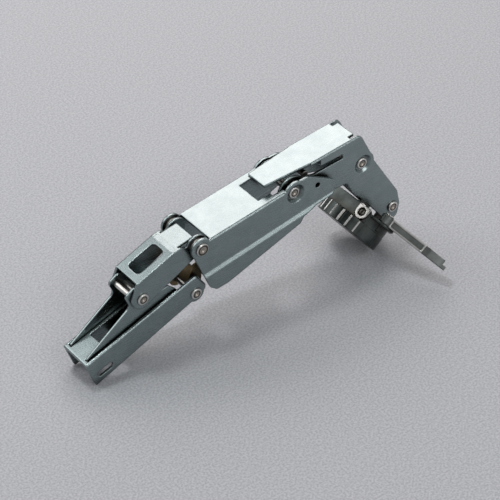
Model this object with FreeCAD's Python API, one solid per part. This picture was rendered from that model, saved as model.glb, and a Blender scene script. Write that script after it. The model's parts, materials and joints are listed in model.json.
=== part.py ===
"""Wide-angle concealed cabinet hinge, swung open: arm, rear link, lever, front crank and cup."""
import FreeCAD, Part
import math
import os

Vector = FreeCAD.Vector

# Driving dimensions, in millimetres and degrees. The origin lies midway between the two hook slots of the
# arm, +X runs forward to the cup, +Y along the pivot pins and +Z up. Each link has a frame of its own.

# Arm: a folded channel that hooks onto a mounting plate, and the insert that carries the rear link
ARM_TILT = 20.0
ARM_REAR = 7.5
ARM_LENGTH = 70.0
ARM_HALF_WIDTH = 9.5
ARM_SHEET = 1.3
ARM_TOP = 10.0
ARM_DEPTH_REAR = 4.7
ARM_DEPTH_FRONT = 1.7
ARM_WEB_LENGTH = 53.5
ARM_FRONT_SLANT = 3.0
ARM_REAR_CORNER = 1.0
ARM_FRONT_CORNER = 3.0
ARM_TOP_CORNER = 2.0
HOOK_SLOT_LENGTH = 9.0
HOOK_SLOT_WIDTH = 3.6
WINDOW_START = 5.0
WINDOW_LENGTH = 24.0
WINDOW_HALF_WIDTH = 4.2
SLIT_CLEARANCE = 0.8
SLIT_INNER_CLEARANCE = 0.2
SLIT_TAIL_CLEARANCE = 0.5
INSERT_HALF_WIDTH = 7.2
INSERT_SHEET = 1.2
INSERT_TAIL = 5.0
INSERT_NOSE_GAP = 2.2
INSERT_FLOOR = 1.0
EAR_RADIUS = 5.8
REAR_PIVOT_ALONG = 31.4
REAR_PIVOT_UP = 20.5
STOP_BAR_RADIUS = 1.5
STOP_BAR_BACK = 3.6
STOP_BAR_RISE = 3.6
ARM_SCREW_RADIUS = 2.4
ARM_SCREW_HEAD_RADIUS = 3.6
ARM_SCREW_ALONG = 20.0
ARM_SCREW_HEAD = 2.4
ARM_SCREW_TIP = 2.5
SPRING_PIVOT_SETBACK = 7.2
SPRING_PIVOT_ALONG = ARM_LENGTH - ARM_REAR - SPRING_PIVOT_SETBACK
SPRING_PIVOT_UP = 0.7
SPRING_LUG_RADIUS = 4.6
INSERT_NOSE = SPRING_PIVOT_ALONG - SPRING_LUG_RADIUS - INSERT_NOSE_GAP

# Rear link: a short channel with an oblong window, from the insert to the lever
LINK_ANGLE = 28.0
LINK_LENGTH = 35.1
LINK_HALF_WIDTH = 8.6
LINK_SHEET = 1.2
LINK_END_RADIUS = 5.3
LINK_WEB_REAR = 9.6
LINK_WEB_BEND = 7.5
LINK_WEB_FRONT = 4.1
LINK_BEND_ALONG = 24.0
LINK_TONGUE_HALF_WIDTH = 6.6
LINK_TONGUE_START = 27.5
LINK_TONGUE_END = 36.2
LINK_WINDOW_HALF_WIDTH = 4.5
LINK_WINDOW_START = 5.6
LINK_WINDOW_END = 22.0
LINK_WINDOW_RADIUS = 2.4

# Spring arm: the bronze-coloured folded arm in the nose of the channel
SPRING_ANGLE = 70.0
SPRING_LENGTH = 14.5
SPRING_HALF_WIDTH = 6.3
SPRING_SHEET = 1.0
SPRING_EYE_RADIUS = 4.4

# Lever: the wide channel between the rear link and the front crank
LEVER_ANGLE = 7.4
LEVER_LENGTH = 55.0
LEVER_HALF_WIDTH = 12.5
LEVER_SHEET = 1.4
LEVER_EYE_RADIUS = 5.5
LEVER_TOP_REAR = 2.7
LEVER_TOP_FRONT = 4.2
LEVER_WEB_START = 5.6
LEVER_DEPTH = 27.4
LEVER_STEP = 0.8
LEVER_STEP_REAR = 15.2
LEVER_STEP_FRONT = 12.1
LEVER_LEDGE = 2.2
LEVER_FINGER = 24.0
LEVER_CUT_START = 37.0
LEVER_CUT_HALF_WIDTH = 7.4
LEVER_CUT_WIDENS = 44.0
LEVER_CUT_WIDE = 9.4
LEVER_PRONG_END = 50.0
GAUGE_HOLE_RADIUS = 1.4
GAUGE_HOLE_AHEAD = 12.8
GAUGE_HOLE_DROP = 2.2

# Front crank: the narrower stamping that bends down from the lever into the cup
CRANK_HALF_WIDTH = 9.0
CRANK_SHEET = 1.3
CRANK_EYE_RADIUS = 7.5
CRANK_TOP_REAR = 7.2
CRANK_TOP_FRONT = 13.9
CRANK_TONGUE = 14.0
CRANK_TONGUE_HALF_WIDTH = 6.0
CRANK_BAND_START = 17.5
CRANK_NOSE = 39.5
CRANK_SLOT_END = 31.0
CRANK_RELIEF_LENGTH = 3.4
CRANK_RELIEF_WIDTH = 3.2
SPRING_PIN_AHEAD = 43.6
SPRING_PIN_DROP = 3.7
CUP_PIVOT_AHEAD = 63.6
CUP_PIVOT_DROP = 37.9
STOP_PIN_AHEAD = 9.0
STOP_PIN_UP = 4.6
STOP_PIN_RADIUS = 1.7

# Closing spring on the crank
COIL_WIRE = 1.4
COIL_TURNS = 6
COIL_LEG = 9.0
BUSH_RADIUS = 2.8
BUSH_HALF_LENGTH = 6.0

# Cup: the drum pressed into the door, with its mounting flange
CUP_TILT = 51.4
CUP_PIVOT_UP = 9.9
CUP_PIVOT_OFFSET = 6.4
CUP_RADIUS = 17.5
CUP_DEPTH = 13.0
CUP_WALL = 1.3
CUP_STEP = 6.0
CUP_FLAT = 9.5
CUP_FLAT_RISE = 1.6
CUP_NECK = 0.3
FLUTE_COUNT = 10
FLUTE_HALF_WIDTH = 1.0
FLUTE_DEPTH = 0.2
FLANGE_SHEET = 1.3
FLANGE_LIP = 1.6
FLANGE_HALF_LENGTH = 23.0
FLANGE_HALF_WIDTH = 6.0
EAR_HOLE_RADIUS = 2.2
EAR_HOLE_SIDE = 9.0
EAR_HOLE_DROP = 1.9
EAR_SCREW_LENGTH = 3.2
EAR_SCREW_TIP = 0.7
EAR_SCREW_SLOT = 0.7
LUG_HALF_WIDTH = 7.5
LUG_SHEET = 1.5
LUG_RADIUS = 4.8

# Clamp lever: the small handle that spreads the cup in its hole
CLAMP_SIDE = 18.0
CLAMP_BACK = 2.0
CLAMP_SWING = 30.0
CLAMP_LENGTH = 37.0
CLAMP_EYE_RADIUS = 3.4
CLAMP_HEIGHT = 4.4
CLAMP_HALF_WIDTH = 3.0
CLAMP_WALL = 0.9
CLAMP_TROUGH_END = 25.0
CLAMP_TROUGH_GAP = 1.2
CLAMP_TIP_TAPER = 3.0
CLAMP_TIP_STEP = 2.2
CLAMP_PIN_RADIUS = 1.5

# Rivets and fits
RIVET_RADIUS = 2.0
RIVET_HEAD_RADIUS = 2.9
RIVET_HEAD = 0.9
RIVET_DIMPLE = 0.5
LEVER_RIVET_HEAD_EXTRA = 0.4
COLLAR_WALL = 2.0
BEND_RADIUS = 0.9
PIVOT_CLEARANCE = 0.05
SIDE_CLEARANCE = 0.1
DISH_RADIUS = 5.4
DISH_FLOOR_RADIUS = 3.7

X_AXIS = Vector(1, 0, 0)
Y_AXIS = Vector(0, 1, 0)
Z_AXIS = Vector(0, 0, 1)


def frame(x, z, tilt):
    """The placement of a link's own frame: its origin, and how far its x axis leans up."""
    return FreeCAD.Placement(Vector(x, 0, z), FreeCAD.Rotation(Y_AXIS, -tilt))


def at(placement, along, up):
    """A point of a link's frame, in the part's frame."""
    return placement.multVec(Vector(along, 0, up))


def outline(corners):
    """A closed wire in the XZ plane through (x, z, radius) corners, with each corner rounded."""
    count = len(corners)
    starts = []
    ends = []
    middles = []
    for i in range(count):
        x, z, radius = corners[i]
        here = Vector(x, 0, z)
        before = Vector(corners[i - 1][0], 0, corners[i - 1][1]) - here
        after = Vector(corners[(i + 1) % count][0], 0, corners[(i + 1) % count][1]) - here
        before.normalize()
        after.normalize()
        half = before.getAngle(after) / 2
        reach = radius / math.tan(half)
        starts.append(here + before * reach)
        ends.append(here + after * reach)
        inward = before + after
        inward.normalize()
        middles.append(here + inward * (radius / math.sin(half) - radius))
    edges = []
    for i in range(count):
        if corners[i][2] > 0:
            edges.append(Part.Arc(starts[i], middles[i], ends[i]).toShape())
        if (starts[(i + 1) % count] - ends[i]).Length > 1e-6:
            edges.append(Part.makeLine(ends[i], starts[(i + 1) % count]))
    return Part.Wire(edges)


def plate(corners, y_low, y_high):
    """A flat plate with an outline in XZ, between two planes across Y."""
    face = Part.Face(outline(corners))
    face.translate(Vector(0, y_low, 0))
    return face.extrude(Vector(0, y_high - y_low, 0))


def disc(x, z, radius, y_low, y_high):
    return Part.makeCylinder(radius, y_high - y_low, Vector(x, y_low, z), Y_AXIS)


def block(x_low, x_high, y_half, z_low, z_high):
    return Part.makeBox(x_high - x_low, 2 * y_half, z_high - z_low, Vector(x_low, -y_half, z_low))


def mirrored(shape):
    """The same shape on the far side."""
    return shape.mirror(Vector(0, 0, 0), Y_AXIS)


def fused(shapes):
    whole = shapes[0].fuse(shapes[1:]) if len(shapes) > 1 else shapes[0]
    return whole.removeSplitter()


def walls(corners, half_width, sheet):
    """The two side walls of a channel."""
    near = plate(corners, -half_width, sheet - half_width)
    return [near, mirrored(near)]


def strip(x0, z0, x1, z1, sheet, half_width):
    """A flat web whose top runs from one point to the other."""
    lean = math.atan2(z1 - z0, x1 - x0)
    drop_x = sheet * math.sin(lean)
    drop_z = -sheet * math.cos(lean)
    corners = [(x0, z0, 0), (x1, z1, 0), (x1 + drop_x, z1 + drop_z, 0), (x0 + drop_x, z0 + drop_z, 0)]
    return plate(corners, -half_width, half_width)


def bend_rounded(shape, half_width, radius, low_z):
    """Rounds the long outer edges where a channel's web is folded down into its walls."""
    edges = []
    for edge in shape.Edges:
        ends = [v.Point for v in edge.Vertexes]
        if len(ends) != 2 or edge.Length < 8 * radius:
            continue
        outside = all(abs(abs(p.y) - half_width) < 1e-6 for p in ends)
        straight = isinstance(edge.Curve, (Part.Line, Part.LineSegment))
        if outside and straight and all(p.z > low_z for p in ends):
            edges.append(edge)
    return shape.makeFillet(radius, edges)


def bend_cutter(x0, z0, x1, z1, half_width, radius):
    """What is taken off a near top edge, from one point to the other, to leave a round bend."""
    length = math.hypot(x1 - x0, z1 - z0)
    corner = Part.makeBox(length, radius + 1, radius + 1, Vector(0, -half_width - 1, -radius))
    bend = Part.makeCylinder(radius, length, Vector(0, radius - half_width, -radius), Vector(1, 0, 0))
    cutter = corner.cut(bend)
    cutter.rotate(Vector(0, 0, 0), Y_AXIS, -math.degrees(math.atan2(z1 - z0, x1 - x0)))
    cutter.translate(Vector(x0, 0, z0))
    return cutter


def rivet_side(x, z, radius, y_in, y_out, head_radius):
    """One half of a rivet along -Y: shank from y_in, and a dimpled round head beyond y_out."""
    inner = -y_in
    seat = -y_out
    top = seat - RIVET_HEAD
    edge = 0.3
    points = [
        Vector(0, inner, 0),
        Vector(radius, inner, 0),
        Vector(radius, seat, 0),
        Vector(head_radius, seat, 0),
        Vector(head_radius, top + edge, 0),
        Vector(head_radius - edge, top, 0),
        Vector(radius * 0.55, top, 0),
        Vector(0, top + RIVET_DIMPLE, 0),
    ]
    profile = Part.Face(Part.makePolygon(points + [points[0]]))
    solid = profile.revolve(Vector(0, 0, 0), Y_AXIS, 360)
    solid.translate(Vector(x, 0, z))
    return solid


def rivet(x, z, radius, y_out, head_radius):
    """A rivet right across the part, with a head on each side beyond y_out."""
    near = rivet_side(x, z, radius, 0, y_out, head_radius)
    return fused([near, mirrored(near)])


def dish(x, z, y_face, sheet, depth, hole_radius):
    """A round recess pressed into the near wall, whose outer face is at -y_face."""
    outer = -y_face
    points = [
        Vector(hole_radius, outer + depth, 0),
        Vector(DISH_FLOOR_RADIUS, outer + depth, 0),
        Vector(DISH_RADIUS - 0.4, outer, 0),
        Vector(DISH_RADIUS + sheet, outer, 0),
        Vector(DISH_RADIUS + sheet, outer + sheet, 0),
        Vector(DISH_RADIUS - 0.4 + sheet * 0.5, outer + sheet, 0),
        Vector(DISH_FLOOR_RADIUS + sheet * 0.5, outer + depth + sheet, 0),
        Vector(hole_radius, outer + depth + sheet, 0),
    ]
    profile = Part.Face(Part.makePolygon(points + [points[0]]))
    solid = profile.revolve(Vector(0, 0, 0), Y_AXIS, 360)
    solid.translate(Vector(x, 0, z))
    return solid


def dished(shape, x, z, y_face, sheet, depth, hole_radius):
    """Presses a dish into both walls of a channel."""
    near = disc(x, z, DISH_RADIUS + sheet * 0.5, -y_face - 1, -y_face + sheet + depth + 1)
    cut = shape.cut([near, mirrored(near)])
    recess = dish(x, z, y_face, sheet, depth, hole_radius)
    return fused([cut, recess, mirrored(recess)])


# Frames of the links, each placed on the one before it

ARM = frame(0, 0, ARM_TILT)
REAR_PIVOT = at(ARM, REAR_PIVOT_ALONG, REAR_PIVOT_UP)
SPRING_PIVOT = at(ARM, SPRING_PIVOT_ALONG, SPRING_PIVOT_UP)
LINK = frame(REAR_PIVOT.x, REAR_PIVOT.z, LINK_ANGLE)
LEVER_PIVOT = at(LINK, LINK_LENGTH, 0)
SPRING = frame(SPRING_PIVOT.x, SPRING_PIVOT.z, SPRING_ANGLE)
LEVER = frame(LEVER_PIVOT.x, LEVER_PIVOT.z, LEVER_ANGLE)
CRANK_PIVOT = at(LEVER, LEVER_LENGTH, 0)
CRANK = frame(CRANK_PIVOT.x, CRANK_PIVOT.z, 0)
CUP_PIVOT = at(CRANK, CUP_PIVOT_AHEAD, -CUP_PIVOT_DROP)
CUP_TURN = FreeCAD.Rotation(Y_AXIS, CUP_TILT)
CUP_MOUTH = CUP_PIVOT - CUP_TURN.multVec(Vector(CUP_PIVOT_OFFSET, 0, CUP_PIVOT_UP))
CUP = FreeCAD.Placement(CUP_MOUTH, CUP_TURN)


def placed(shape, placement):
    moved = shape.copy()
    moved.Placement = placement.multiply(moved.Placement)
    return moved


def make_arm_channel():
    """An inverted channel with hook slots at its rear, a window in its web and two slits for the insert."""
    front = ARM_LENGTH - ARM_REAR
    corners = [
        (-ARM_REAR, -ARM_DEPTH_REAR, ARM_REAR_CORNER),
        (front, -ARM_DEPTH_FRONT, ARM_FRONT_CORNER),
        (front - ARM_FRONT_SLANT, ARM_TOP, ARM_TOP_CORNER),
        (-ARM_REAR, ARM_TOP, 0),
    ]
    web = block(-ARM_REAR, ARM_WEB_LENGTH - ARM_REAR, ARM_HALF_WIDTH, ARM_TOP - ARM_SHEET, ARM_TOP)
    lug = disc(SPRING_PIVOT_ALONG, SPRING_PIVOT_UP, SPRING_LUG_RADIUS,
               -ARM_HALF_WIDTH, ARM_SHEET - ARM_HALF_WIDTH)
    body = fused(walls(corners, ARM_HALF_WIDTH, ARM_SHEET) + [web, lug, mirrored(lug)])
    body = bend_rounded(body, ARM_HALF_WIDTH, BEND_RADIUS, ARM_TOP - 0.1)
    half = HOOK_SLOT_LENGTH / 2
    rise = HOOK_SLOT_WIDTH / 2
    slot = plate([(-half, -rise, rise), (half, -rise, rise), (half, rise, rise), (-half, rise, rise)],
                 -ARM_HALF_WIDTH - 1, ARM_HALF_WIDTH + 1)
    window = block(WINDOW_START, WINDOW_START + WINDOW_LENGTH, WINDOW_HALF_WIDTH, ARM_TOP - 3, ARM_TOP + 1)
    slit_inner = INSERT_HALF_WIDTH - INSERT_SHEET - SLIT_INNER_CLEARANCE
    slit_outer = INSERT_HALF_WIDTH + SLIT_CLEARANCE
    slit_corner = Vector(-INSERT_TAIL - SLIT_TAIL_CLEARANCE, -slit_outer, ARM_TOP - 2 * ARM_SHEET)
    slit = Part.makeBox(ARM_WEB_LENGTH, slit_outer - slit_inner, 3 * ARM_SHEET, slit_corner)
    pivot = disc(SPRING_PIVOT_ALONG, SPRING_PIVOT_UP, RIVET_RADIUS, -ARM_HALF_WIDTH - 1, ARM_HALF_WIDTH + 1)
    body = body.cut([slot, window, slit, mirrored(slit), pivot])
    return placed(body, ARM)


def make_arm_insert():
    """The folded saddle inside the channel: two ribs that rise through the slits into pivot ears."""
    floor = INSERT_FLOOR
    corners = [
        (-INSERT_TAIL, ARM_TOP - 2.6, 0),
        (4.0, ARM_TOP - 2.6, 2.0),
        (13.0, floor, 4.0),
        (INSERT_NOSE, floor, 1.0),
        (INSERT_NOSE, ARM_TOP - 1.0, 2.0),
        (REAR_PIVOT_ALONG + 14.0, ARM_TOP + 5.0, 3.0),
        (REAR_PIVOT_ALONG + EAR_RADIUS + 2.0, ARM_TOP + 5.0, 2.0),
        (REAR_PIVOT_ALONG + EAR_RADIUS - 0.4, REAR_PIVOT_UP, 4.0),
        (REAR_PIVOT_ALONG + 1.0, REAR_PIVOT_UP + EAR_RADIUS + 2.2, 4.0),
        (REAR_PIVOT_ALONG - STOP_BAR_BACK - 3.4, REAR_PIVOT_UP + STOP_BAR_RISE + 2.6, 2.4),
        (REAR_PIVOT_ALONG - 6.6, REAR_PIVOT_UP - 0.9, 3.0),
        (-INSERT_TAIL, ARM_TOP + 0.5, 0),
    ]
    inner = INSERT_HALF_WIDTH - INSERT_SHEET
    floor_plate = block(14.0, INSERT_NOSE - 1.0, inner, floor, floor + INSERT_SHEET)
    body = fused(walls(corners, INSERT_HALF_WIDTH, INSERT_SHEET) + [floor_plate])
    pivot = disc(REAR_PIVOT_ALONG, REAR_PIVOT_UP, RIVET_RADIUS, -ARM_HALF_WIDTH, ARM_HALF_WIDTH)
    screw = Part.makeCylinder(ARM_SCREW_RADIUS, 6, Vector(ARM_SCREW_ALONG, 0, floor - 2), Z_AXIS)
    return placed(body.cut([pivot, screw]), ARM)


def make_stop_bar():
    """The round bar between the two ears that stops the rear link."""
    reach = INSERT_HALF_WIDTH - INSERT_SHEET
    along = REAR_PIVOT_ALONG - STOP_BAR_BACK
    bar = disc(along, REAR_PIVOT_UP + STOP_BAR_RISE, STOP_BAR_RADIUS, -reach, reach)
    return placed(bar, ARM)


def make_arm_screw():
    """The adjusting screw seen through the window, seated on the insert's floor."""
    seat = INSERT_FLOOR + INSERT_SHEET
    head_foot = Vector(ARM_SCREW_ALONG, 0, seat)
    head = Part.makeCylinder(ARM_SCREW_HEAD_RADIUS, ARM_SCREW_HEAD, head_foot, Z_AXIS)
    foot = Vector(ARM_SCREW_ALONG, 0, INSERT_FLOOR - ARM_SCREW_TIP)
    shank = Part.makeCylinder(ARM_SCREW_RADIUS, INSERT_SHEET + ARM_SCREW_TIP, foot, Z_AXIS)
    slot = block(ARM_SCREW_ALONG - 5, ARM_SCREW_ALONG + 5, 0.5, seat + 1.3, seat + 4)
    cross = block(ARM_SCREW_ALONG - 0.5, ARM_SCREW_ALONG + 0.5, 5, seat + 1.3, seat + 4)
    return placed(fused([head, shank]).cut([slot, cross]), ARM)


def make_rear_link():
    """A folded link with an oblong window in its web and a tongue that reaches to the lever."""
    end = LINK_LENGTH + LINK_END_RADIUS
    corners = [
        (-LINK_END_RADIUS, -LINK_END_RADIUS, 5.0),
        (end, -LINK_END_RADIUS, 5.2),
        (end, LINK_END_RADIUS, 5.2),
        (LINK_LENGTH - 1.5, LINK_END_RADIUS, 0.5),
        (LINK_LENGTH - 4.6, LINK_END_RADIUS - 1.7, 1.0),
        (LINK_TONGUE_START + 0.5, LINK_WEB_BEND - 1.1, 0.5),
        (LINK_BEND_ALONG, LINK_WEB_BEND, 6.0),
        (2.2, LINK_WEB_REAR, 0),
        (-LINK_END_RADIUS, 3.5, 3.0),
    ]
    rear = strip(2.2, LINK_WEB_REAR, LINK_BEND_ALONG, LINK_WEB_BEND, LINK_SHEET, LINK_HALF_WIDTH)
    slope = (LINK_WEB_FRONT - LINK_WEB_BEND) / (LINK_TONGUE_END - LINK_BEND_ALONG)
    shoulder = LINK_WEB_BEND + slope * (LINK_TONGUE_START - LINK_BEND_ALONG)
    middle = strip(LINK_BEND_ALONG - 0.3, LINK_WEB_BEND, LINK_TONGUE_START, shoulder,
                   LINK_SHEET, LINK_HALF_WIDTH)
    tongue = strip(LINK_TONGUE_START - 1.0, shoulder - slope, LINK_TONGUE_END, LINK_WEB_FRONT, LINK_SHEET,
                   LINK_TONGUE_HALF_WIDTH)
    body = fused(walls(corners, LINK_HALF_WIDTH, LINK_SHEET) + [rear, middle, tongue])
    half = LINK_WINDOW_HALF_WIDTH
    window = plate([
        (LINK_WINDOW_START, -half, LINK_WINDOW_RADIUS),
        (LINK_WINDOW_END, -half, LINK_WINDOW_RADIUS),
        (LINK_WINDOW_END, half, LINK_WINDOW_RADIUS),
        (LINK_WINDOW_START, half, LINK_WINDOW_RADIUS),
    ], -LINK_WEB_REAR - 2, -LINK_WEB_FRONT + 2)
    window.rotate(Vector(0, 0, 0), Vector(1, 0, 0), -90)
    cuts = [window]
    hole = RIVET_RADIUS + PIVOT_CLEARANCE
    cuts.append(disc(0, 0, hole, -LINK_HALF_WIDTH - 1, LINK_HALF_WIDTH + 1))
    cuts.append(disc(LINK_LENGTH, 0, RIVET_RADIUS, -LINK_HALF_WIDTH - 1, LINK_HALF_WIDTH + 1))
    return placed(body.cut(cuts), LINK)


def make_spring_arm():
    """The folded spring arm: two eyes on the pivot in the arm's nose and a bowed back."""
    half = SPRING_HALF_WIDTH
    corners = [
        (-SPRING_EYE_RADIUS, -SPRING_EYE_RADIUS, 4.2),
        (3.0, -SPRING_EYE_RADIUS, 3.0),
        (SPRING_LENGTH, -1.5, 2.0),
        (SPRING_LENGTH, 4.0, 2.5),
        (5.0, SPRING_EYE_RADIUS, 8.0),
        (-SPRING_EYE_RADIUS, SPRING_EYE_RADIUS, 4.2),
    ]
    back = strip(4.0, SPRING_EYE_RADIUS, SPRING_LENGTH - 2.0, 3.9, SPRING_SHEET, half)
    body = fused(walls(corners, half, SPRING_SHEET) + [back])
    hole = disc(0, 0, RIVET_RADIUS + PIVOT_CLEARANCE, -half - 1, half + 1)
    return placed(body.cut(hole), SPRING)


def lever_corners():
    """The lever's side wall, from the rear eye to the finger beyond the crank pivot."""
    finger = LEVER_LENGTH + LEVER_FINGER
    return [
        (LEVER_WEB_START, LEVER_TOP_REAR, 0),
        (LEVER_PRONG_END, LEVER_TOP_FRONT, 0),
        (LEVER_LENGTH - 2.0, LEVER_TOP_FRONT + 1.9, 3.0),
        (LEVER_LENGTH + 8.0, LEVER_TOP_FRONT + 1.6, 6.0),
        (LEVER_LENGTH + 15.0, LEVER_TOP_FRONT - 3.2, 4.0),
        (finger, -5.5, 3.5),
        (finger - 2.5, -12.4, 3.0),
        (LEVER_LENGTH + 10.6, -12.9, 3.0),
        (LEVER_LENGTH + 2.4, -15.3, 1.5),
        (LEVER_LENGTH + 0.3, -17.9, 1.5),
        (11.2, -LEVER_DEPTH, 5.0),
        (4.2, -LEVER_DEPTH, 2.0),
        (0.9, -LEVER_DEPTH + 3.3, 2.0),
        (-LEVER_EYE_RADIUS + 0.6, -1.6, 2.0),
        (-1.0, -0.4, 0.5),
    ]


def step_line_frame():
    """The frame of the line along which the lever's walls step out."""
    rise = (LEVER_STEP_REAR - LEVER_STEP_FRONT) / LEVER_LENGTH
    return frame(0, -LEVER_STEP_REAR, math.degrees(math.atan(rise)))


def below_step_line(drop):
    """All of the space lower than the step line, or than a line that far from it."""
    reach = 3 * LEVER_LENGTH
    return placed(block(-reach, reach, reach, -reach, drop), step_line_frame())


def lever_ledge():
    """The sloped ledge that joins the upper near wall to the lower one, which stands further out."""
    upper = -LEVER_HALF_WIDTH
    lower = -LEVER_HALF_WIDTH - LEVER_STEP
    reach = 3 * LEVER_LENGTH
    section = Part.makePolygon([
        Vector(-reach, upper, 0),
        Vector(-reach, upper + LEVER_SHEET, 0),
        Vector(-reach, lower + LEVER_SHEET, -LEVER_LEDGE),
        Vector(-reach, lower, -LEVER_LEDGE),
        Vector(-reach, upper, 0),
    ])
    return placed(Part.Face(section).extrude(Vector(2 * reach, 0, 0)), step_line_frame())


def make_lever():
    """The wide channel: web with prongs and cut-out, walls that step out low down, dished at the crank."""
    outside = LEVER_HALF_WIDTH + LEVER_STEP + 1
    upper = walls(lever_corners(), LEVER_HALF_WIDTH, LEVER_SHEET)
    lower = walls(lever_corners(), LEVER_HALF_WIDTH + LEVER_STEP, LEVER_SHEET)
    ledge = lever_ledge()
    whole = plate(lever_corners(), -outside, 0)
    ledge = ledge.common(whole)
    walls_up = [w.cut(below_step_line(-0.01)) for w in upper]
    walls_low = [w.common(below_step_line(-LEVER_LEDGE)) for w in lower]
    walls_low += [ledge, mirrored(ledge)]
    web = strip(LEVER_WEB_START, LEVER_TOP_REAR, LEVER_PRONG_END, LEVER_TOP_FRONT,
                LEVER_SHEET, LEVER_HALF_WIDTH)
    cut_out = [block(LEVER_CUT_START, LEVER_PRONG_END + 2, LEVER_CUT_HALF_WIDTH, -2, LEVER_TOP_FRONT + 4)]
    cut_out.append(block(LEVER_CUT_WIDENS, LEVER_PRONG_END + 2, LEVER_CUT_WIDE, -2, LEVER_TOP_FRONT + 4))
    eye = disc(0, 0, LEVER_EYE_RADIUS, -LEVER_HALF_WIDTH, LEVER_SHEET - LEVER_HALF_WIDTH)
    body = fused(walls_up + walls_low + [web.cut(cut_out), eye, mirrored(eye)])
    bend_rise = (LEVER_TOP_FRONT - LEVER_TOP_REAR) / (LEVER_PRONG_END - LEVER_WEB_START)
    bend_start = LEVER_WEB_START - 1.0
    bend_end = LEVER_PRONG_END - 1.0
    bend = bend_cutter(bend_start, LEVER_TOP_REAR - bend_rise, bend_end, LEVER_TOP_FRONT - bend_rise,
                       LEVER_HALF_WIDTH, 1.0)
    body = body.cut([bend, mirrored(bend)])
    depth = LEVER_HALF_WIDTH - CRANK_HALF_WIDTH - SIDE_CLEARANCE - LEVER_SHEET
    hole = RIVET_RADIUS + PIVOT_CLEARANCE
    body = dished(body, LEVER_LENGTH, 0, LEVER_HALF_WIDTH, LEVER_SHEET, depth, hole)
    eye_hole = disc(0, 0, hole, -outside, outside)
    gauge = disc(LEVER_LENGTH + GAUGE_HOLE_AHEAD, -GAUGE_HOLE_DROP, GAUGE_HOLE_RADIUS, -outside, outside)
    return placed(body.cut([eye_hole, gauge]), LEVER)


def make_front_crank():
    """The narrow stamping: web with a tongue, slotted walls bent down to the cup, dished at its pin."""
    rise = (CRANK_TOP_FRONT - CRANK_TOP_REAR) / (CRANK_NOSE + CRANK_TONGUE)
    band_top = CRANK_TOP_REAR + rise * (CRANK_BAND_START + CRANK_TONGUE)
    pin_x = SPRING_PIN_AHEAD
    cup_x = CUP_PIVOT_AHEAD
    cup_z = -CUP_PIVOT_DROP
    corners = [
        (0, 6.9, 0),
        (13.0, 3.2, 3.0),
        (CRANK_SLOT_END, 5.0, 0.9),
        (CRANK_SLOT_END, 7.6, 0.9),
        (CRANK_BAND_START, 6.4, 0.5),
        (CRANK_BAND_START, band_top, 0),
        (CRANK_NOSE, CRANK_TOP_FRONT, 0),
        (CRANK_NOSE + 2.6, CRANK_TOP_FRONT - 1.0, 2.0),
        (pin_x + 5.0, 0.3, 3.0),
        (pin_x + 5.8, -2.6, 3.0),
        (cup_x + 2.8, cup_z + 8.6, 5.0),
        (cup_x + 4.7, cup_z + 0.4, 5.0),
        (cup_x + 3.2, cup_z - 7.4, 3.5),
        (cup_x - 2.6, cup_z - 7.6, 3.5),
        (cup_x - 6.1, cup_z - 4.2, 3.0),
        (43.9, -24.7, 6.0),
        (38.0, -18.5, 3.0),
        (34.0, -10.9, 2.5),
        (27.8, -11.0, 3.0),
        (22.0, -9.5, 3.0),
        (0, -6.9, 0),
    ]
    web = strip(CRANK_BAND_START - 6.0, band_top - 6.0 * rise, CRANK_NOSE, CRANK_TOP_FRONT,
                CRANK_SHEET, CRANK_HALF_WIDTH)
    whole = strip(-CRANK_TONGUE, CRANK_TOP_REAR, CRANK_NOSE, CRANK_TOP_FRONT, CRANK_SHEET, CRANK_HALF_WIDTH)
    taper = Part.makePolygon([
        Vector(-CRANK_TONGUE - 1, -CRANK_TONGUE_HALF_WIDTH, 0),
        Vector(CRANK_BAND_START - 5.0, -CRANK_HALF_WIDTH + 0.6, 0),
        Vector(CRANK_BAND_START - 5.0, CRANK_HALF_WIDTH - 0.6, 0),
        Vector(-CRANK_TONGUE - 1, CRANK_TONGUE_HALF_WIDTH, 0),
        Vector(-CRANK_TONGUE - 1, -CRANK_TONGUE_HALF_WIDTH, 0),
    ])
    tongue = whole.common(Part.Face(taper).extrude(Vector(0, 0, CRANK_TOP_FRONT + 2)))
    eye = disc(0, 0, CRANK_EYE_RADIUS, -CRANK_HALF_WIDTH, CRANK_SHEET - CRANK_HALF_WIDTH)
    body = fused(walls(corners, CRANK_HALF_WIDTH, CRANK_SHEET) + [web, tongue, eye, mirrored(eye)])
    body = bend_rounded(body, CRANK_HALF_WIDTH, BEND_RADIUS, band_top - 2.5)
    top = CRANK_TOP_FRONT
    back = CRANK_NOSE - CRANK_RELIEF_LENGTH
    front = CRANK_NOSE + 0.5
    relief = block(back, front, CRANK_HALF_WIDTH, top - 4.0, top + 1.0)
    relief = relief.cut(block(back - 1.0, front + 1.0, CRANK_HALF_WIDTH - CRANK_RELIEF_WIDTH, 0, top + 2.0))
    keep = block(back - 1.0, front + 1.0, CRANK_HALF_WIDTH - CRANK_SHEET, 0, top + 2.0)
    body = body.cut(relief.common(keep))
    hole = RIVET_RADIUS
    body = dished(body, pin_x, -SPRING_PIN_DROP, CRANK_HALF_WIDTH, CRANK_SHEET, CRANK_SHEET, hole)
    outside = CRANK_HALF_WIDTH + 1
    pivot = disc(0, 0, RIVET_RADIUS, -outside, outside)
    cup_hole = disc(cup_x, cup_z, RIVET_RADIUS + PIVOT_CLEARANCE, -outside, outside)
    return placed(body.cut([pivot, cup_hole]), CRANK)


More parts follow.
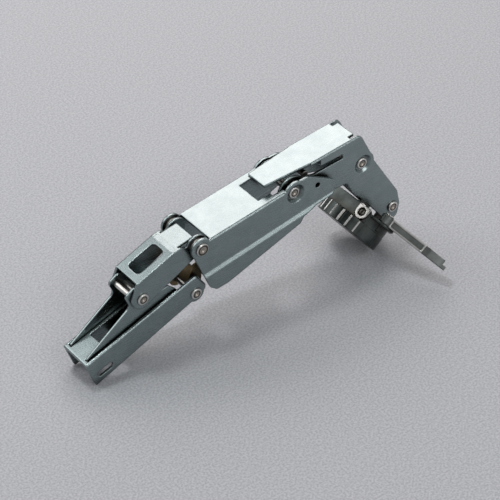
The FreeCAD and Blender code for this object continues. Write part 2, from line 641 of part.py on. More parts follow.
def make_lever_rivets():
    """Two stub rivets that hang the lever on the rear link, each with a spacer collar between the walls."""
    collar_in = LINK_HALF_WIDTH
    collar_out = LEVER_HALF_WIDTH - LEVER_SHEET - SIDE_CLEARANCE
    head_radius = RIVET_HEAD_RADIUS + LEVER_RIVET_HEAD_EXTRA
    shank = rivet_side(LINK_LENGTH, 0, RIVET_RADIUS, LINK_HALF_WIDTH - LINK_SHEET,
                       LEVER_HALF_WIDTH + SIDE_CLEARANCE, head_radius)
    collar = disc(LINK_LENGTH, 0, RIVET_RADIUS + COLLAR_WALL, -collar_out, -collar_in)
    near = fused([shank, collar])
    return placed(Part.makeCompound([near, mirrored(near)]), LINK)


def make_bush():
    """The plain bush on the spring pin."""
    half = BUSH_HALF_LENGTH
    tube = disc(SPRING_PIN_AHEAD, -SPRING_PIN_DROP, BUSH_RADIUS, -half, half)
    hole = disc(SPRING_PIN_AHEAD, -SPRING_PIN_DROP, RIVET_RADIUS, -half - 1, half + 1)
    return placed(tube.cut(hole), CRANK)


def make_coil():
    """The closing spring wound on the bush, turn against turn."""
    pitch = COIL_WIRE
    start = -COIL_TURNS * pitch / 2
    inner = BUSH_RADIUS
    outer = BUSH_RADIUS + COIL_WIRE * 0.7
    crest = outer + COIL_WIRE * 0.3
    points = []
    for turn in range(COIL_TURNS):
        low = start + turn * pitch
        points.append(Vector(outer, low, 0))
        points.append(Vector(crest, low + pitch * 0.3, 0))
        points.append(Vector(crest, low + pitch * 0.7, 0))
    points.append(Vector(outer, start + COIL_TURNS * pitch, 0))
    edges = [Part.makeLine(p, q) for p, q in zip(points, points[1:])]
    end = start + COIL_TURNS * pitch
    edges.append(Part.makeLine(Vector(outer, end, 0), Vector(inner, end, 0)))
    edges.append(Part.makeLine(Vector(inner, end, 0), Vector(inner, start, 0)))
    edges.append(Part.makeLine(Vector(inner, start, 0), Vector(outer, start, 0)))
    coil = Part.Face(Part.Wire(edges)).revolve(Vector(0, 0, 0), Y_AXIS, 360)
    leg = Part.makeCylinder(COIL_WIRE / 2, COIL_LEG, Vector(outer, end - pitch / 2, 0), Vector(0.35, 0, -1))
    coil = fused([coil, leg])
    coil.translate(Vector(SPRING_PIN_AHEAD, 0, -SPRING_PIN_DROP))
    return placed(coil, CRANK)


def make_stop_pin():
    """The cross pin under the crank's tongue."""
    reach = CRANK_HALF_WIDTH - CRANK_SHEET
    return placed(disc(STOP_PIN_AHEAD, STOP_PIN_UP, STOP_PIN_RADIUS, -reach, reach), CRANK)


def make_cup():
    """The cast cup: a fluted drum, cut to a flat on the crank's side, with a flange and two pivot lugs."""
    drum = Part.makeCylinder(CUP_RADIUS, CUP_DEPTH, Vector(0, 0, -CUP_DEPTH), Z_AXIS)
    inside = CUP_RADIUS - CUP_WALL
    hollow = Part.makeCylinder(inside, CUP_DEPTH, Vector(0, 0, -CUP_DEPTH + CUP_WALL), Z_AXIS)
    wide = 3 * CUP_RADIUS
    beyond_flat = block(-wide, -CUP_FLAT, wide, -CUP_STEP, wide)
    inside_flat = block(-CUP_FLAT + CUP_WALL, wide, wide, -CUP_STEP, wide)
    below_step = block(-wide, wide, wide, -wide, -CUP_STEP)
    hollow = hollow.common(fused([inside_flat, below_step]))
    neck = Part.makeCylinder(CUP_RADIUS - CUP_NECK, CUP_STEP, Vector(0, 0, -CUP_STEP), Z_AXIS)
    body = drum.common(below_step).fuse(neck).cut([beyond_flat, hollow])
    flange = flange_plate().cut(beyond_flat)
    mouth = Part.makeCylinder(inside, 4 * FLANGE_SHEET, Vector(0, 0, -2 * FLANGE_SHEET), Z_AXIS)
    flange = flange.cut(mouth.common(inside_flat))
    body = fused([body, flange, ear_wall(), pivot_lug(), mirrored(pivot_lug())])
    cuts = []
    for i in range(FLUTE_COUNT):
        flute = Part.makeBox(2 * FLUTE_DEPTH, 2 * FLUTE_HALF_WIDTH, CUP_DEPTH,
                             Vector(CUP_RADIUS - FLUTE_DEPTH, -FLUTE_HALF_WIDTH, -CUP_DEPTH - CUP_STEP))
        flute.rotate(Vector(0, 0, 0), Z_AXIS, 360.0 * (i + 0.5) / FLUTE_COUNT)
        cuts.append(flute)
    cuts.append(disc(CUP_PIVOT_OFFSET, CUP_PIVOT_UP, RIVET_RADIUS, -CUP_RADIUS, CUP_RADIUS))
    ear_hole = Vector(-CUP_FLAT - CUP_WALL, -EAR_HOLE_SIDE, -EAR_HOLE_DROP)
    cuts.append(Part.makeCylinder(EAR_HOLE_RADIUS, 4 * CUP_WALL, ear_hole, X_AXIS))
    cuts.append(Part.makeCylinder(CLAMP_PIN_RADIUS, 10, Vector(-CLAMP_BACK, -CLAMP_SIDE, -5), Z_AXIS))
    return placed(body.cut(cuts), CUP)


def flange_plate():
    """The flange on the door's face: a round lip and two wings."""
    lip = Part.makeCylinder(CUP_RADIUS + FLANGE_LIP, FLANGE_SHEET, Vector(0, 0, -FLANGE_SHEET), Z_AXIS)
    reach = FLANGE_HALF_LENGTH - FLANGE_HALF_WIDTH
    corner = Vector(-FLANGE_HALF_WIDTH, -reach, -FLANGE_SHEET)
    wing = Part.makeBox(2 * FLANGE_HALF_WIDTH, 2 * reach, FLANGE_SHEET, corner)
    ends = []
    for side in (-1, 1):
        middle = Vector(0, side * reach, -FLANGE_SHEET)
        ends.append(Part.makeCylinder(FLANGE_HALF_WIDTH, FLANGE_SHEET, middle, Z_AXIS))
    return fused([lip, wing] + ends)


def ear_wall():
    """The flat wall of the cup, rounded at its ends, that stands a little above the mouth."""
    half = math.sqrt((CUP_RADIUS - CUP_NECK) ** 2 - CUP_FLAT ** 2)
    wall = Part.makeBox(CUP_WALL, 2 * half, CUP_STEP + CUP_FLAT_RISE, Vector(-CUP_FLAT, -half, -CUP_STEP))
    rounding = [e for e in wall.Edges if abs(e.Vertexes[0].Point.z - CUP_FLAT_RISE) < 1e-6 and
                abs(e.Vertexes[1].Point.z - CUP_FLAT_RISE) < 1e-6 and e.Length < 2 * CUP_WALL]
    return wall.makeFillet(4.0, rounding)


def pivot_lug():
    """One of the two lugs that rise from the cup's floor to the crank."""
    floor = -CUP_DEPTH + CUP_WALL
    corners = [
        (CUP_PIVOT_OFFSET - LUG_RADIUS, CUP_PIVOT_UP + LUG_RADIUS, LUG_RADIUS - 0.2),
        (CUP_PIVOT_OFFSET + LUG_RADIUS, CUP_PIVOT_UP + LUG_RADIUS, LUG_RADIUS - 0.2),
        (CUP_PIVOT_OFFSET + LUG_RADIUS + 3.0, floor, 0),
        (CUP_PIVOT_OFFSET - LUG_RADIUS + 3.0, floor, 0),
    ]
    return plate(corners, -LUG_HALF_WIDTH, LUG_SHEET - LUG_HALF_WIDTH)


def make_ear_screw():
    """The screw in the hole of the cup's flat wall."""
    centre = Vector(0, 0, 0)
    head = Part.makeCylinder(EAR_HOLE_RADIUS, EAR_SCREW_LENGTH, centre, X_AXIS)
    tip = Part.makeCone(EAR_HOLE_RADIUS, EAR_HOLE_RADIUS - EAR_SCREW_TIP, EAR_SCREW_TIP, centre, -X_AXIS)
    across = 2 * EAR_HOLE_RADIUS
    slot = Part.makeBox(1.0, EAR_SCREW_SLOT, 2 * across, Vector(-1.2, -EAR_SCREW_SLOT / 2, -across))
    screw = fused([head, tip]).cut(slot)
    screw.translate(Vector(-CUP_FLAT + 0.4, -EAR_HOLE_SIDE, -EAR_HOLE_DROP))
    return placed(screw, CUP)


def make_clamp_lever():
    """The swung-out handle: a round eye, a trough and a solid tapered tip, flat above the flange."""
    low = SIDE_CLEARANCE
    eye = Part.makeCylinder(CLAMP_EYE_RADIUS, CLAMP_HEIGHT, Vector(0, 0, low), Z_AXIS)
    end = CLAMP_LENGTH
    shape = Part.makePolygon([
        Vector(0, -CLAMP_HALF_WIDTH, low),
        Vector(end * 0.72, -CLAMP_HALF_WIDTH, low),
        Vector(end - CLAMP_TIP_TAPER, -CLAMP_HALF_WIDTH * 0.5, low),
        Vector(end, -CLAMP_HALF_WIDTH * 0.4, low),
        Vector(end, CLAMP_HALF_WIDTH * 0.4, low),
        Vector(end - CLAMP_TIP_TAPER, CLAMP_HALF_WIDTH * 0.5, low),
        Vector(end * 0.72, CLAMP_HALF_WIDTH, low),
        Vector(0, CLAMP_HALF_WIDTH, low),
        Vector(0, -CLAMP_HALF_WIDTH, low),
    ])
    handle = Part.Face(shape).extrude(Vector(0, 0, CLAMP_HEIGHT))
    tip_corner = Vector(end - CLAMP_TIP_STEP, -CLAMP_HALF_WIDTH, low + CLAMP_HEIGHT * 0.45)
    tip_cut = Part.makeBox(2 * CLAMP_TIP_STEP, 2 * CLAMP_HALF_WIDTH, CLAMP_HEIGHT, tip_corner)
    trough_start = CLAMP_EYE_RADIUS + CLAMP_TROUGH_GAP
    trough_half = CLAMP_HALF_WIDTH - CLAMP_WALL
    trough = Part.makeBox(CLAMP_TROUGH_END - trough_start, 2 * trough_half, CLAMP_HEIGHT,
                          Vector(trough_start, -trough_half, low + CLAMP_WALL))
    pin = Part.makeCylinder(CLAMP_PIN_RADIUS + PIVOT_CLEARANCE, 2 * CLAMP_HEIGHT, Vector(0, 0, -1), Z_AXIS)
    body = fused([eye, handle]).cut([trough, tip_cut, pin])
    body.rotate(Vector(0, 0, 0), Z_AXIS, -90 + CLAMP_SWING)
    body.translate(Vector(-CLAMP_BACK, -CLAMP_SIDE, 0))
    return placed(body, CUP)


def make_clamp_pin():
    """The rivet of the clamp lever, in the flange."""
    top = SIDE_CLEARANCE + CLAMP_HEIGHT + SIDE_CLEARANCE
    shank = Part.makeCylinder(CLAMP_PIN_RADIUS, top + FLANGE_SHEET, Vector(0, 0, -FLANGE_SHEET), Z_AXIS)
    head = Part.makeCylinder(CLAMP_PIN_RADIUS + 1.0, 0.8, Vector(0, 0, top), Z_AXIS)
    pin = fused([shank, head])
    pin.translate(Vector(-CLAMP_BACK, -CLAMP_SIDE, 0))
    return placed(pin, CUP)


def make_parts():
    link_seat = LINK_HALF_WIDTH + SIDE_CLEARANCE
    arm_seat = ARM_HALF_WIDTH
    dish_seat = CRANK_HALF_WIDTH + LEVER_SHEET + 2 * SIDE_CLEARANCE
    cup_seat = CRANK_HALF_WIDTH + SIDE_CLEARANCE
    pin_seat = CRANK_HALF_WIDTH - CRANK_SHEET
    rear_pivot = rivet(REAR_PIVOT_ALONG, REAR_PIVOT_UP, RIVET_RADIUS, link_seat, RIVET_HEAD_RADIUS)
    spring_pivot = rivet(SPRING_PIVOT_ALONG, SPRING_PIVOT_UP, RIVET_RADIUS, arm_seat, RIVET_HEAD_RADIUS)
    spring_pin = rivet(SPRING_PIN_AHEAD, -SPRING_PIN_DROP, RIVET_RADIUS, pin_seat, RIVET_HEAD_RADIUS)
    cup_pivot = rivet(CUP_PIVOT_OFFSET, CUP_PIVOT_UP, RIVET_RADIUS, cup_seat, RIVET_HEAD_RADIUS)
    return {
        "arm_channel": make_arm_channel(),
        "arm_insert": make_arm_insert(),
        "stop_bar": make_stop_bar(),
        "arm_screw": make_arm_screw(),
        "rear_pivot_rivet": placed(rear_pivot, ARM),
        "spring_arm_rivet": placed(spring_pivot, ARM),
        "rear_link": make_rear_link(),
        "lever_rivets": make_lever_rivets(),
        "spring_arm": make_spring_arm(),
        "lever": make_lever(),
        "front_crank": make_front_crank(),
        "crank_rivet": placed(rivet(0, 0, RIVET_RADIUS, dish_seat, RIVET_HEAD_RADIUS), CRANK),
        "spring_pin": placed(spring_pin, CRANK),
        "spring_bush": make_bush(),
        "closing_spring": make_coil(),
        "stop_pin": make_stop_pin(),
        "cup": make_cup(),
        "cup_pivot_rivet": placed(cup_pivot, CUP),
        "ear_screw": make_ear_screw(),
        "clamp_lever": make_clamp_lever(),
        "clamp_pin": make_clamp_pin(),
    }


os.makedirs("parts", exist_ok=True)
for name, shape in make_parts().items():
    shape.exportStep("parts/" + name + ".step")
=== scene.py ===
"""Looks for the open cabinet hinge: plated sheet, rivets, bronze spring arm and a plain pale studio."""
import json
import math

import bpy
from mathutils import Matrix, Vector


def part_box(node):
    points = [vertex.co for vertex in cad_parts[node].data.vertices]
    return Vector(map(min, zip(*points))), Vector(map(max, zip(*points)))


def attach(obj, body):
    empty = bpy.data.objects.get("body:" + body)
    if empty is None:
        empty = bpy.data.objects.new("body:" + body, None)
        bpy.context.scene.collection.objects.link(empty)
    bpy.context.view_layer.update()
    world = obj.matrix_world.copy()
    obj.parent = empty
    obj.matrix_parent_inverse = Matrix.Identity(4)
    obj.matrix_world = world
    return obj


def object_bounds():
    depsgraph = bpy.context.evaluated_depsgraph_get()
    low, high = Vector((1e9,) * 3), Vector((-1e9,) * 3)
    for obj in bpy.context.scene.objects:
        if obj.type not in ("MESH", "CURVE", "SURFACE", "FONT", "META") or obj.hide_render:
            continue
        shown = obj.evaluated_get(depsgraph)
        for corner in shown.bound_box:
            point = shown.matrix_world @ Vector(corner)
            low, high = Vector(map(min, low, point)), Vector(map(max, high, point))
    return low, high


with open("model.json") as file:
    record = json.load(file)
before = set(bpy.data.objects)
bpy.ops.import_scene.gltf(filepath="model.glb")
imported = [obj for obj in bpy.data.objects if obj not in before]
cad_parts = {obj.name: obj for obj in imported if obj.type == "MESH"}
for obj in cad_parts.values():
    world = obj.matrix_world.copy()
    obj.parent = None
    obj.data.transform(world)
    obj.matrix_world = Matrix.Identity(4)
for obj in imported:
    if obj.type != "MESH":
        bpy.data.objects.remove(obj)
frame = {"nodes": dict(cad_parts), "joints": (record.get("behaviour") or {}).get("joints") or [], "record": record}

CAD_BOX = [list(corner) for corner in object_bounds()]

MILLIMETRE = 0.001
TINY = 1e-6

# Camera: place, aim and farthest sight in metres, lens and sensor in millimetres
CAMERA_PLACE = Vector((-0.3930, -0.6371, 0.6458))
CAMERA_AIM = Vector((0.0905, 0.0, 0.0209))
CAMERA_SIGHT = 20.0
CAMERA_LENS = 153.4
CAMERA_SENSOR = 36.0

# Colours, as linear values
NICKEL = (0.280, 0.332, 0.336)
NICKEL_DARK = (0.250, 0.300, 0.304)
# Painted shade, mixed into the plated colours where a piece is closed in
HOLLOW_SHADE = (0.035, 0.028, 0.020)
RIVET_BRIGHT = (0.66, 0.65, 0.62)
RIVET_CLOUDED = (0.52, 0.52, 0.50)
RIVET_DARK = (0.06, 0.055, 0.05)
RIVET_CORE = (0.40, 0.36, 0.31)
BRONZE = (0.34, 0.25, 0.14)
BRONZE_DARK = (0.16, 0.11, 0.06)
WIRE = (0.20, 0.19, 0.17)
WIRE_DARK = (0.08, 0.075, 0.065)
CAST = (0.080, 0.092, 0.088)
CAST_DARK = (0.042, 0.049, 0.047)
CLAMP = (0.20, 0.215, 0.205)
CLAMP_DARK = (0.13, 0.14, 0.135)
FLOOR = (0.46, 0.47, 0.49)
FLOOR_DARK = (0.34, 0.35, 0.37)
WORLD = (0.86, 0.88, 0.90)
WARM = (1.0, 0.90, 0.88)
WHITE = (1.0, 1.0, 1.0)

# Cloudy tone of plated metal: cycles per metre, octaves, and the noise levels of its dark and light ends
CLOUD_SCALE = 160.0
CLOUD_DETAIL = 5.0
CLOUD_ENDS = (0.35, 0.65)

# Rolling lines of sheet along X, and the grain of cast and turned metal, in cycles per metre
BRUSH_STRETCH = (90.0, 3000.0, 3000.0)
BRUSH_DETAIL = 3.0
GRAIN_SCALE = 2600.0
GRAIN_DETAIL = 2.0

# Gloss and relief: how far the roughness strays from its middle, and lengths in metres
ROUGHNESS_BELOW = 0.06
ROUGHNESS_ABOVE = 0.10
BUMP_DEPTH = 0.00002
EDGE_RADIUS = 0.0008
EDGE_SAMPLES = 8

# Painted shade in hollows: reach in metres, and the open shares at which it is darkest and gone
HOLLOW_SHADE_REACH = 0.012
HOLLOW_SHADE_SAMPLES = 6
HOLLOW_SHADE_FULL = 0.30
HOLLOW_SHADE_GONE = 0.80

# Rivet heads: colours by the share of the head's radius
RIVET_RINGS = [
    (0.00, RIVET_CORE), (0.44, RIVET_CORE),
    (0.52, RIVET_DARK), (0.66, RIVET_DARK),
    (0.74, RIVET_BRIGHT), (1.00, RIVET_BRIGHT),
]
RIVET_ROUGHNESS = (0.22, 0.42)
RIVET_DETAIL = 3.0

# Floor: side in metres, and its speckle in cycles per metre
FLOOR_SIZE = 6.0
FLOOR_ROUGHNESS = 0.9
SPECKLE_SCALE = 1000.0
SPECKLE_DETAIL = 3.0
SPECKLE_ENDS = (0.38, 0.62)

# Light from all around, and softboxes: direction from the object, distance, width, height, watts and colour
WORLD_STRENGTH = 0.42
SOFTBOXES = {
    "back_softbox": ((0.40, 0.62, 0.67), 1.0, 0.80, 0.60, 4.8, WARM),
    "left_softbox": ((-0.495, 0.628, 0.60), 1.1, 0.62, 0.62, 2.6, WHITE),
    "front_strip": ((0.45, -0.90, 0.06), 1.3, 0.90, 0.22, 1.8, WHITE),
    "bend_strip": ((0.08, -0.74, 0.67), 1.3, 0.90, 0.34, 3.6, WHITE),
    "key_light": ((-0.15, 0.25, 0.95), 1.3, 0.25, 0.25, 4.6, WHITE),
}

# The cup's step under its neck and its flat wall, in metres from the mouth's centre
CUP_STEP = 0.0060
CUP_FLAT = 0.0095

# Ribs on the flat's side of the cup's drum, in metres
RIB_COUNT = 7
RIB_PITCH = math.radians(16.0)
RIB_STEPS = 6
RIB_ROW = RIB_STEPS + 1
RIB_HALF_WIDTH = 0.0010
RIB_HEIGHT = 0.00025
RIB_ROOT = 0.0004
RIB_MARGIN = 0.0003

# The bright tab on the flat wall, around its screw, in metres from the mouth's centre
TAB_SIDE = -0.0090
TAB_DROP = -0.0019
TAB_TOP = 0.0016
TAB_RADIUS = 0.0040
TAB_HOLE = 0.0022
TAB_SHEET = 0.0006
TAB_STEPS = 48

# The clamp handle's direction in the cup's frame, and the rim on its outer side, in metres from its pivot
CLAMP_TURN = math.radians(-60.0)
RIM_START = 0.0034
RIM_END = 0.0230
RIM_OUT = 0.0030
RIM_LOW = 0.0005
RIM_HIGH = 0.0041
RIM_RADIUS = 0.0005
RIM_SIDES = 16

# Nodes by finish
SHEET_NODES = ("arm_channel", "arm_insert", "rear_link", "lever", "front_crank")
STEEL_NODES = ("stop_bar", "arm_screw", "spring_bush", "stop_pin", "clamp_pin")
WIRE_NODES = ("closing_spring", "ear_screw")
RIVET_NODES = (
    "rear_pivot_rivet", "spring_arm_rivet", "lever_rivets", "crank_rivet", "spring_pin", "cup_pivot_rivet",
)

# Sockets of the colour mix node, which has a set for every kind of value
MIX_FACTOR = 0
MIX_FROM = 6
MIX_TO = 7
MIX_RESULT = 2


class Shader:
    """A small helper that adds and links the nodes of one material."""

    def __init__(self, name):
        self.material = bpy.data.materials.new(name)
        self.material.use_nodes = True
        self.tree = self.material.node_tree
        self.tree.nodes.clear()
        output = self.add("ShaderNodeOutputMaterial")
        self.surface = self.add("ShaderNodeBsdfPrincipled")
        self.link(self.surface, "BSDF", output, "Surface")

    def add(self, kind, **values):
        node = self.tree.nodes.new(kind)
        for key, value in values.items():
            setattr(node, key, value)
        return node

    def link(self, source, output, target, slot):
        self.tree.links.new(source.outputs[output], target.inputs[slot])

    def coordinates(self, scale, place=(0, 0, 0)):
        """Coordinates that stay fixed to the piece, scaled and shifted."""
        source = self.add("ShaderNodeTexCoord")
        mapping = self.add("ShaderNodeMapping")
        mapping.inputs["Location"].default_value = place
        mapping.inputs["Scale"].default_value = scale
        self.link(source, "Object", mapping, "Vector")
        return mapping

    def noise(self, scale, detail, stretch=(1, 1, 1)):
        texture = self.add("ShaderNodeTexNoise")
        texture.inputs["Scale"].default_value = scale
        texture.inputs["Detail"].default_value = detail
        self.link(self.coordinates(stretch), "Vector", texture, "Vector")
        return texture

    def ramp(self, source, output, stops):
        """A colour ramp over (position, colour) stops."""
        node = self.add("ShaderNodeValToRGB")
        elements = node.color_ramp.elements
        while len(elements) < len(stops):
            elements.new(0.5)
        for element, (position, colour) in zip(elements, stops):
            element.position = position
            element.color = (*colour, 1.0)
        self.link(source, output, node, "Fac")
        return node

    def levels(self, source, output, low, high):
        """A value from 0 to 1, stretched to run from low to high."""
        node = self.add("ShaderNodeMapRange")
        node.inputs["To Min"].default_value = low
        node.inputs["To Max"].default_value = high
        self.link(source, output, node, "Value")
        return node

    def with_hollow_shade(self, source, output):
        """The colour, darkened with painted shade where the piece is closed in."""
        open_sky = self.add("ShaderNodeAmbientOcclusion", samples=HOLLOW_SHADE_SAMPLES)
        open_sky.inputs["Distance"].default_value = HOLLOW_SHADE_REACH
        share = self.levels(open_sky, "AO", 0.0, 1.0)
        share.inputs["From Min"].default_value = HOLLOW_SHADE_FULL
        share.inputs["From Max"].default_value = HOLLOW_SHADE_GONE
        blend = self.add("ShaderNodeMix", data_type="RGBA")
        blend.inputs[MIX_FROM].default_value = (*HOLLOW_SHADE, 1.0)
        self.link(share, "Result", blend, MIX_FACTOR)
        self.link(source, output, blend, MIX_TO)
        return blend

    def metal(self, lines, roughest, smoothest):
        """Bare metal whose gloss and relief follow the same fine lines, with edges that a bevel softens."""
        self.surface.inputs["Metallic"].default_value = 1.0
        gloss = self.levels(lines, "Fac", smoothest, roughest)
        self.link(gloss, "Result", self.surface, "Roughness")
        bevel = self.add("ShaderNodeBevel", samples=EDGE_SAMPLES)
        bevel.inputs["Radius"].default_value = EDGE_RADIUS
        bump = self.add("ShaderNodeBump")
        bump.inputs["Distance"].default_value = BUMP_DEPTH
        self.link(lines, "Fac", bump, "Height")
        self.link(bevel, "Normal", bump, "Normal")
        self.link(bump, "Normal", self.surface, "Normal")


def plated(name, light, dark, roughness, brushed):
    """Plated metal: a cloudy tone, with painted shade in hollows, rolling lines or grain and uneven gloss."""
    shader = Shader(name)
    cloud = shader.noise(CLOUD_SCALE, CLOUD_DETAIL)
    tone = shader.ramp(cloud, "Fac", list(zip(CLOUD_ENDS, (dark, light))))
    # The cloudy tone, darkened by painted shade in hollows
    shader.link(shader.with_hollow_shade(tone, "Color"), MIX_RESULT, shader.surface, "Base Color")
    if brushed:
        lines = shader.noise(1.0, BRUSH_DETAIL, BRUSH_STRETCH)
    else:
        lines = shader.noise(GRAIN_SCALE, GRAIN_DETAIL)
    shader.metal(lines, roughness + ROUGHNESS_ABOVE, roughness - ROUGHNESS_BELOW)
    return shader.material


def riveted(node):
    """A set rivet: bright rim, dark ring and a bronze core, by the distance from the node's middle axis."""
    low, high = (Vector(corner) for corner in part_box(node))
    centre = (low + high) / 2
    shader = Shader(node + "_metal")
    place = shader.coordinates((1.0, 0.0, 1.0), (-centre.x, 0.0, -centre.z))
    reach = shader.add("ShaderNodeVectorMath", operation="LENGTH")
    shader.link(place, "Vector", reach, 0)
    share = shader.add("ShaderNodeMath", operation="DIVIDE")
    share.inputs[1].default_value = (high.x - low.x) / 2
    shader.link(reach, "Value", share, 0)
    rings = shader.ramp(share, "Value", RIVET_RINGS)
    shader.link(rings, "Color", shader.surface, "Base Color")
    smoothest, roughest = RIVET_ROUGHNESS
    shader.metal(shader.noise(GRAIN_SCALE, RIVET_DETAIL), roughest, smoothest)
    return shader.material


def floor_material():
    """A pale matt floor with a fine speckle."""
    shader = Shader("pale_floor")
    speckle = shader.noise(SPECKLE_SCALE, SPECKLE_DETAIL)
    tone = shader.ramp(speckle, "Fac", list(zip(SPECKLE_ENDS, (FLOOR_DARK, FLOOR))))
    shader.link(tone, "Color", shader.surface, "Base Color")
    shader.surface.inputs["Roughness"].default_value = FLOOR_ROUGHNESS
    return shader.material


SHEET = plated("nickel_sheet", NICKEL, NICKEL_DARK, roughness=0.26, brushed=True)
CASTING = plated("plated_casting", CAST, CAST_DARK, roughness=0.34, brushed=False)
HANDLE = plated("plated_handle", CLAMP, CLAMP_DARK, roughness=0.34, brushed=False)
SPRING = plated("bronze_spring", BRONZE, BRONZE_DARK, roughness=0.36, brushed=True)
COIL = plated("spring_wire", WIRE, WIRE_DARK, roughness=0.34, brushed=False)
STEEL = plated("turned_steel", RIVET_BRIGHT, RIVET_CLOUDED, roughness=0.28, brushed=False)


def dress(node, material):
    mesh = frame["nodes"][node].data
    mesh.materials.clear()
    mesh.materials.append(material)


def dress_nodes():
    for node in SHEET_NODES:
        dress(node, SHEET)
    dress("cup", CASTING)
    dress("clamp_lever", HANDLE)
    for node in STEEL_NODES:
        dress(node, STEEL)
    dress("spring_arm", SPRING)
    for node in WIRE_NODES:
        dress(node, COIL)
    for node in RIVET_NODES:
        dress(node, riveted(node))


def add_piece(name, corners, faces, body):
    """A bright steel piece from its corners and faces, riding on a body."""
    mesh = bpy.data.meshes.new(name)
    mesh.from_pydata(corners, [], faces)
    mesh.materials.append(STEEL)
    piece = bpy.data.objects.new(name, mesh)
    bpy.context.scene.collection.objects.link(piece)
    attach(piece, body)


def named(rows, name):
    """The one of the record's rows that has this name."""
    return next(row for row in rows if row["name"] == name)


class CupFrame:
    """The cup's axes from its drum's mount: away from the flat, along the pins and out of the mouth."""

    def __init__(self, mount):
        self.radius = mount["dims"]["r_mm"] * MILLIMETRE
        self.half = mount["dims"]["length_mm"] * MILLIMETRE / 2
        self.out = -Vector(mount["axis"]).normalized()
        self.side = Vector((0, 1, 0))
        self.ahead = self.side.cross(self.out)
        self.mouth = Vector(mount["pos_m"]) + self.out * (self.half + CUP_STEP)

    def offset(self, x, y, z):
        return self.ahead * x + self.side * y + self.out * z

    def point(self, x, y, z):
        return self.mouth + self.offset(x, y, z)


CUP = CupFrame(named(frame["record"]["mounts"], "cup_body"))
CLAMP_PIVOT = Vector(named(frame["joints"], "clamp_pivot")["pos_m"])


def rib_corners(turn):
    """The two end rows of a rib at this angle around the drum, rounded from edge to edge."""
    middle = -CUP_STEP - CUP.half
    reach = CUP.half - RIB_MARGIN
    corners = []
    for end in (middle - reach, middle + reach):
        for step in range(RIB_ROW):
            share = 2 * step / RIB_STEPS - 1
            rise = CUP.radius + RIB_HEIGHT * math.cos(share * math.pi / 2) - RIB_ROOT * abs(share)
            across = share * RIB_HALF_WIDTH
            x = rise * math.cos(turn) - across * math.sin(turn)
            y = rise * math.sin(turn) + across * math.cos(turn)
            corners.append(CUP.point(x, y, end))
    return corners


def rib_faces(first):
    """The rounded back, the underside and the square ends of the rib whose corners start at first."""
    second = first + RIB_ROW
    beyond = second + RIB_ROW
    faces = [(low, low + 1, low + RIB_ROW + 1, low + RIB_ROW) for low in range(first, second - 1)]
    faces.append((first, second, beyond - 1, second - 1))
    faces.append(tuple(range(second - 1, first - 1, -1)))
    faces.append(tuple(range(second, beyond)))
    return faces


def add_ribs():
    """The gripping ribs, spread evenly about the middle of the flat's side."""
    corners = []
    faces = []
    for rib in range(RIB_COUNT):
        faces.extend(rib_faces(len(corners)))
        corners.extend(rib_corners(math.pi + RIB_PITCH * (rib - (RIB_COUNT - 1) / 2)))
    add_piece("cup_ribs", corners, faces, "cup")


def tab_reach(turn):
    """How far the tab's edge lies from the screw: round below, straight-sided above."""
    if math.sin(turn) <= 0:
        return TAB_RADIUS
    to_top = (TAB_TOP - TAB_DROP) / max(math.sin(turn), TINY)
    to_side = TAB_RADIUS / max(abs(math.cos(turn)), TINY)
    return min(to_top, to_side)


def add_ear_tab():
    """The bright tab on the cup's flat wall, with the hole that its screw fills."""
    section = ((0, 1), (1, 3), (3, 2), (2, 0))
    corners = []
    faces = []
    for step in range(TAB_STEPS):
        turn = 2 * math.pi * step / TAB_STEPS
        for depth in (CUP_FLAT, CUP_FLAT + TAB_SHEET):
            for reach in (TAB_HOLE, tab_reach(turn)):
                y = TAB_SIDE + reach * math.cos(turn)
                corners.append(CUP.point(-depth, y, TAB_DROP + reach * math.sin(turn)))
        here = len(section) * step
        ahead = len(section) * ((step + 1) % TAB_STEPS)
        for near, far in section:
            faces.append((here + near, here + far, ahead + far, ahead + near))
    add_piece("ear_tab", corners, faces, "cup")


def clamp_point(along, out, up):
    """A point of the clamp handle: along it, out to its visible side and up from the flange."""
    x = along * math.cos(CLAMP_TURN) + out * math.sin(CLAMP_TURN)
    y = along * math.sin(CLAMP_TURN) - out * math.cos(CLAMP_TURN)
    return CLAMP_PIVOT + CUP.offset(x, y, up)


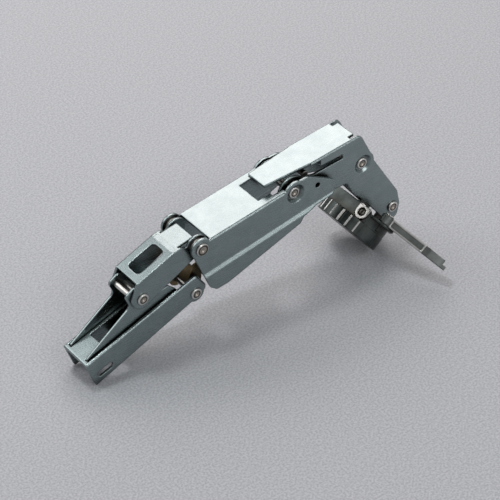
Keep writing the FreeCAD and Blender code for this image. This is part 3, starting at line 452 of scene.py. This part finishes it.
def add_clamp_rim():
    """The rolled rim around the trough on the handle's side: a round bar, mitred at four corners."""
    turns = [
        (RIM_START, RIM_HIGH, -1, 1), (RIM_END, RIM_HIGH, 1, 1),
        (RIM_END, RIM_LOW, 1, -1), (RIM_START, RIM_LOW, -1, -1),
    ]
    corners = []
    faces = []
    for number, (along, up, forward, upward) in enumerate(turns):
        here = number * RIM_SIDES
        ahead = (number + 1) % len(turns) * RIM_SIDES
        for side in range(RIM_SIDES):
            angle = 2 * math.pi * side / RIM_SIDES
            spread = RIM_RADIUS * math.sin(angle)
            out = RIM_OUT + RIM_RADIUS * math.cos(angle)
            corners.append(clamp_point(along + forward * spread, out, up + upward * spread))
            beside = (side + 1) % RIM_SIDES
            faces.append((here + side, here + beside, ahead + beside, ahead + side))
    add_piece("clamp_rim", corners, faces, "clamp_lever")


def add_floor():
    level = CAD_BOX[0][2]
    bpy.ops.mesh.primitive_plane_add(size=FLOOR_SIZE, location=(CAMERA_AIM.x, 0.0, level))
    floor = bpy.context.object
    floor.name = "studio_floor"
    floor.data.materials.append(floor_material())


def add_softbox(name, direction, distance, width, height, power, colour):
    """A rectangular lamp, seen from the object in the given direction and facing it."""
    light = bpy.data.lights.new(name, "AREA")
    light.shape = "RECTANGLE"
    light.size = width
    light.size_y = height
    light.energy = power
    light.color = colour
    lamp = bpy.data.objects.new(name, light)
    way = Vector(direction).normalized()
    lamp.location = CAMERA_AIM + way * distance
    lamp.rotation_euler = (-way).to_track_quat("-Z", "Y").to_euler()
    bpy.context.scene.collection.objects.link(lamp)


def add_camera():
    data = bpy.data.cameras.new("photo_camera")
    data.lens = CAMERA_LENS
    data.sensor_width = CAMERA_SENSOR
    data.sensor_fit = "HORIZONTAL"
    data.clip_end = CAMERA_SIGHT
    camera = bpy.data.objects.new("photo_camera", data)
    camera.location = CAMERA_PLACE
    camera.rotation_euler = (CAMERA_AIM - CAMERA_PLACE).to_track_quat("-Z", "Y").to_euler()
    bpy.context.scene.collection.objects.link(camera)
    bpy.context.scene.camera = camera


def set_world():
    world = bpy.data.worlds.new("studio")
    bpy.context.scene.world = world
    world.use_nodes = True
    background = world.node_tree.nodes["Background"]
    background.inputs["Color"].default_value = (*WORLD, 1.0)
    background.inputs["Strength"].default_value = WORLD_STRENGTH


dress_nodes()
add_ribs()
add_ear_tab()
add_clamp_rim()
add_floor()
set_world()
for lamp_name, settings in SOFTBOXES.items():
    add_softbox(lamp_name, *settings)
add_camera()
bpy.context.scene.view_settings.view_transform = "Standard"
